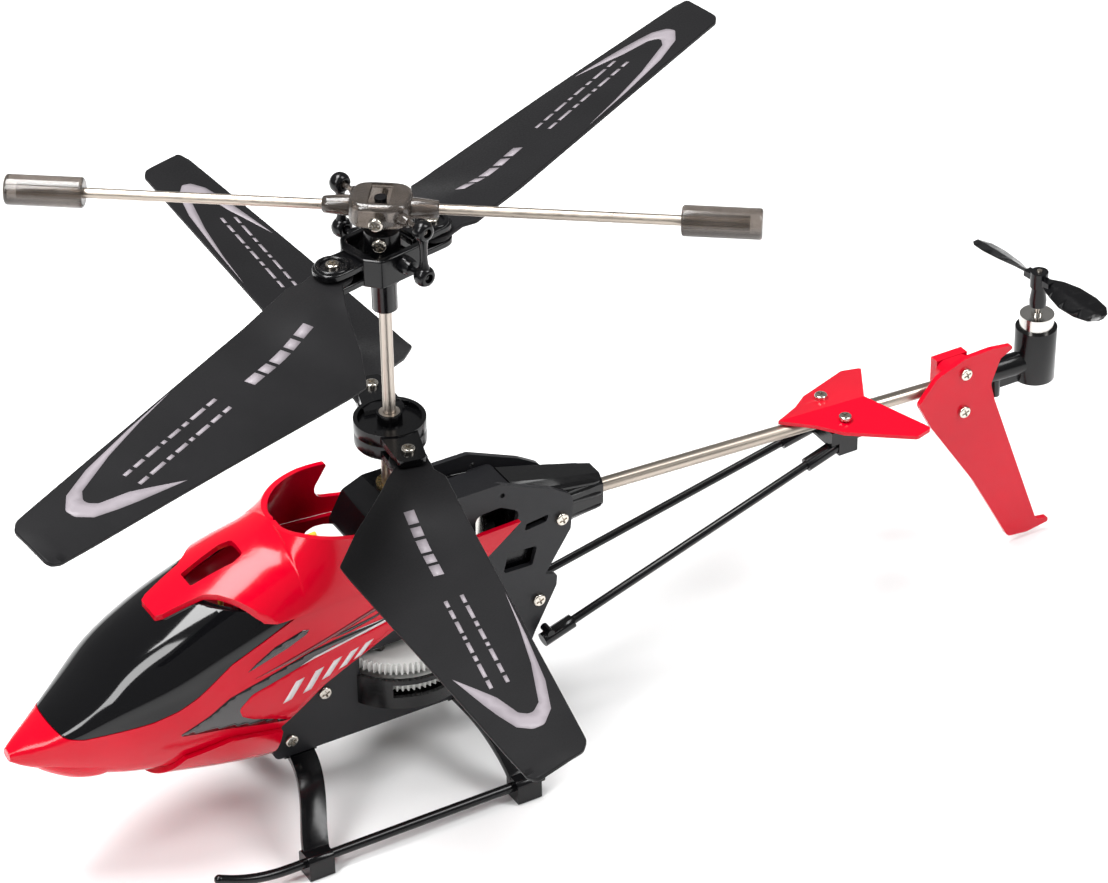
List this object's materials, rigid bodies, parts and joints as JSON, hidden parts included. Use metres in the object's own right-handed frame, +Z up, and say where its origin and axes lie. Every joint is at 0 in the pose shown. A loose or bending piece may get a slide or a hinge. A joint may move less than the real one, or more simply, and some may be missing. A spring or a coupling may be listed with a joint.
{
  "type": "remote control helicopter",
  "caption": "Small indoor remote control helicopter with stacked counter-rotating rotors, a flybar on top, a hollow nose shell, a boom with a tail propeller and landing skids.",
  "frame": {"origin": "on the main shaft's axis, level with the flat undersides of the four skid clamps", "axes": "+X forward towards the nose, +Y to port, +Z up along the main shaft"},
  "size_m": [0.2159, 0.1897, 0.1099],
  "materials": {
    "red_shell": "gloss",
    "black_canopy": "high gloss",
    "frame_plate": "satin",
    "black_plastic": "satin",
    "blade_plastic": "matte",
    "white_nylon": "satin",
    "brass": "turned",
    "bright_screws": "polished",
    "shaft_steel": "ground",
    "boom_aluminium": "satin anodised",
    "motor_can": "drawn",
    "smoke_plastic": "translucent gloss",
    "battery_wrap": "shrink film",
    "board_green": "solder mask",
    "chip_black": "matte",
    "wire_purple": "soft",
    "wire_yellow": "soft"
  },
  "bodies": {
    "airframe": {"nose_shell": "red_shell", "upper_cowl": "red_shell", "belly_pan": "red_shell", "horizontal_fin": "red_shell", "vertical_fin": "red_shell", "vertical_fin_clamp": "red_shell", "canopy": "black_canopy", "left_side_frame": "frame_plate", "right_side_frame": "frame_plate", "frame_spacers": "black_plastic", "bearing_blocks": "black_plastic", "motor_plate": "black_plastic", "gear_guards": "black_plastic", "boom_holder": "black_plastic", "brace_sleeves": "black_plastic", "fin_saddle": "black_plastic", "tail_motor_housing": "black_plastic", "skid_struts": "black_plastic", "skid_rods": "black_plastic", "brace_rods": "black_plastic", "motor_end_caps": "white_nylon", "shaft_bushes": "brass", "airframe_screws": "bright_screws", "tail_boom": "boom_aluminium", "main_motors": "motor_can", "tail_motor": "motor_can", "battery": "battery_wrap", "circuit_board": "board_green", "board_components": "chip_black", "charge_socket": "chip_black", "switch_body": "chip_black", "motor_wire_dark": "wire_purple", "motor_wire_yellow": "wire_yellow"},
    "lower_rotor": {"outer_shaft": "shaft_steel", "upper_drive_gear": "white_nylon", "lower_hub_base": "black_plastic", "lower_hub_cap": "black_plastic", "lower_blade_screws": "bright_screws"},
    "lower_rotor_blade_1": {"lower_blade_1": "blade_plastic"},
    "lower_rotor_blade_2": {"lower_blade_2": "blade_plastic"},
    "upper_rotor": {"inner_shaft": "shaft_steel", "lower_drive_gear": "white_nylon", "rotor_head_core": "black_plastic", "head_pins": "bright_screws"},
    "yoke": {"blade_yoke": "black_plastic", "upper_blade_screws": "bright_screws"},
    "upper_rotor_blade_1": {"upper_blade_1": "blade_plastic"},
    "upper_rotor_blade_2": {"upper_blade_2": "blade_plastic"},
    "flybar": {"flybar_hub": "smoke_plastic", "flybar_rods": "boom_aluminium", "flybar_weights": "smoke_plastic"},
    "ball_link_1": {"link_1": "black_plastic"},
    "ball_link_2": {"link_2": "black_plastic"},
    "front_drive": {"front_pinion": "brass", "front_motor_shaft": "shaft_steel"},
    "rear_drive": {"rear_pinion": "brass", "rear_motor_shaft": "shaft_steel"},
    "tail_rotor": {"tail_motor_shaft": "shaft_steel", "tail_propeller": "black_plastic"},
    "power_switch": {"switch_knob": "chip_black"}
  },
  "joints": [
    {"name": "lower_rotor_spin", "type": "hinge", "parent": "airframe", "child": "lower_rotor", "pos_m": [0, 0, 0.065], "axis": [0, 0, 1], "continuous": true},
    {"name": "upper_rotor_spin", "type": "hinge", "parent": "airframe", "child": "upper_rotor", "pos_m": [0, 0, 0.09], "axis": [0, 0, 1], "continuous": true},
    {"name": "front_motor_spin", "type": "hinge", "parent": "airframe", "child": "front_drive", "pos_m": [0.01225, 0, 0.03], "axis": [0, 0, 1], "continuous": true},
    {"name": "rear_motor_spin", "type": "hinge", "parent": "airframe", "child": "rear_drive", "pos_m": [-0.01225, 0, 0.03], "axis": [0, 0, 1], "continuous": true},
    {"name": "yoke_teeter", "type": "hinge", "parent": "upper_rotor", "child": "yoke", "pos_m": [0, 0, 0.0992], "axis": [0.5915, 0.8063, 0], "range_deg": [-12, 12]},
    {"name": "flybar_teeter", "type": "hinge", "parent": "upper_rotor", "child": "flybar", "pos_m": [0, 0, 0.1074], "axis": [0.5915, 0.8063, 0], "range_deg": [-12, 12]},
    {"name": "link_1_swing", "type": "hinge", "parent": "yoke", "child": "ball_link_1", "pos_m": [-0.00208, 0.00999, 0.0992], "axis": [0.5915, 0.8063, 0], "range_deg": [-12, 12]},
    {"name": "link_2_swing", "type": "hinge", "parent": "yoke", "child": "ball_link_2", "pos_m": [0.00208, -0.00999, 0.0992], "axis": [0.5915, 0.8063, 0], "range_deg": [-12, 12]},
    {"name": "upper_blade_1_fold", "type": "hinge", "parent": "yoke", "child": "upper_rotor_blade_1", "pos_m": [0.00999, 0.00208, 0.09863], "axis": [0, 0, 1], "range_deg": [-59.8, 20.2]},
    {"name": "upper_blade_2_fold", "type": "hinge", "parent": "yoke", "child": "upper_rotor_blade_2", "pos_m": [-0.00999, -0.00208, 0.09863], "axis": [0, 0, 1], "range_deg": [-55.5, 24.5]},
    {"name": "lower_blade_1_fold", "type": "hinge", "parent": "lower_rotor", "child": "lower_rotor_blade_1", "pos_m": [0.00196, 0.01001, 0.06572], "axis": [0, 0, 1], "range_deg": [-38.6, 41.4]},
    {"name": "lower_blade_2_fold", "type": "hinge", "parent": "lower_rotor", "child": "lower_rotor_blade_2", "pos_m": [-0.00196, -0.01001, 0.06572], "axis": [0, 0, 1], "range_deg": [-50.2, 29.8]},
    {"name": "tail_rotor_spin", "type": "hinge", "parent": "airframe", "child": "tail_rotor", "pos_m": [-0.1296, 0, 0.0528], "axis": [0, 0, 1], "continuous": true},
    {"name": "power_switch_slide", "type": "slide", "parent": "airframe", "child": "power_switch", "axis": [1, 0, 0], "range_m": [0, 0.002]}
  ],
  "couplings": [
    {"joint": "front_motor_spin", "follows": "lower_rotor_spin", "ratio": -8},
    {"joint": "rear_motor_spin", "follows": "upper_rotor_spin", "ratio": -8},
    {"joint": "flybar_teeter", "follows": "yoke_teeter", "ratio": 1},
    {"joint": "link_1_swing", "follows": "yoke_teeter", "ratio": -1},
    {"joint": "link_2_swing", "follows": "yoke_teeter", "ratio": -1}
  ]
}
